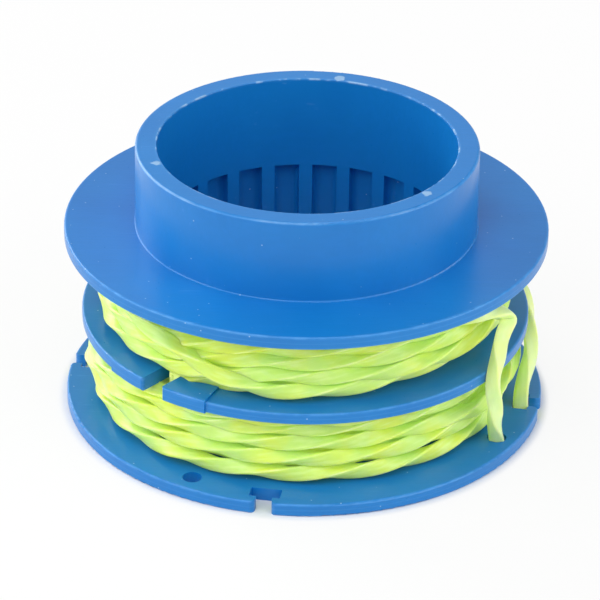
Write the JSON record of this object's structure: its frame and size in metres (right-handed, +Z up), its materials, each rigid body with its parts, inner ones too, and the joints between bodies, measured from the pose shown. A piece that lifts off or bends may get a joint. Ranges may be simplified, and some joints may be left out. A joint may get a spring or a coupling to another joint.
{
  "type": "trimmer line spool",
  "caption": "Moulded two-channel spool with an open ribbed hub and a tall collar, wound with twisted trimmer line whose ends are parked in the bottom flange.",
  "frame": {"origin": "on the spool's axis, in the plane of its foot, the underside of the bottom flange", "axes": "+Z up the spool's axis to the collar, -Y towards the picture's viewer"},
  "size_m": [0.07, 0.07, 0.041],
  "materials": {
    "blue_nylon": "satin moulded nylon with glass fibre",
    "lime_line": "slightly clear extruded nylon"
  },
  "bodies": {
    "root": {"spool": "blue_nylon", "lower_winding": "lime_line", "upper_winding": "lime_line", "lower_tail": "lime_line", "upper_tail": "lime_line"}
  },
  "joints": []
}
